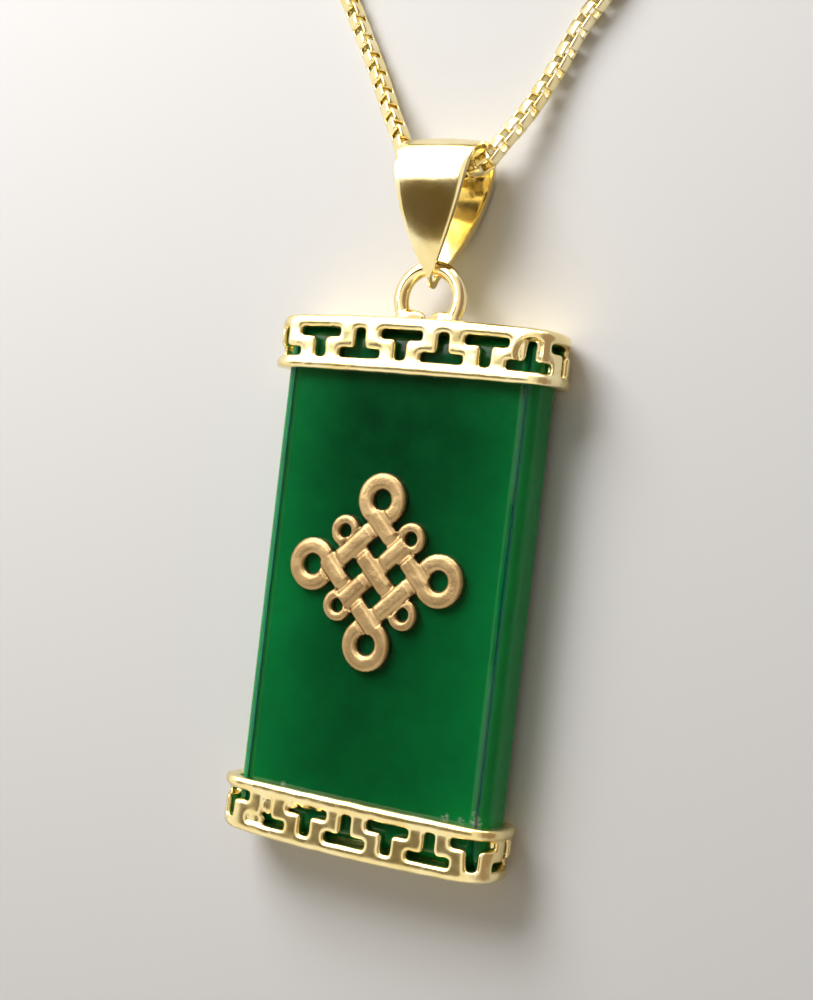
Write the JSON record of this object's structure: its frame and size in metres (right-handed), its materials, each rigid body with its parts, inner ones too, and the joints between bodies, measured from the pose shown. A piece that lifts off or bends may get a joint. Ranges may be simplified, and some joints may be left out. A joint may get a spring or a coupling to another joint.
{
  "type": "jade plaque pendant",
  "caption": "Green stone plaque pendant held between pierced fret end caps, with a small front ornament, hanging loop, folded bail and box chain.",
  "frame": {"origin": "middle of the pendant's box at the level of the surface that it lies on, measured without the chain", "axes": "+X across the plaque to the right as seen from the front, +Y along it towards the bail, +Z out of the front face"},
  "size_m": [0.0211, 0.0764, 0.0047],
  "materials": {
    "jade": "polished translucent green stone",
    "polished_gold": "polished gold plate",
    "matte_gold": "stamped matte gold plate",
    "chain_gold": "polished gold plate"
  },
  "bodies": {
    "root": {"jade_plate": "jade", "top_cap": "polished_gold", "bottom_cap": "polished_gold", "hanging_loop": "polished_gold", "bail": "polished_gold", "front_ornament": "matte_gold", "chain_left_strand": "chain_gold", "chain_right_strand": "chain_gold", "chain_coil": "chain_gold", "chain_clasp": "chain_gold", "chain_end_ring": "chain_gold"}
  },
  "joints": []
}
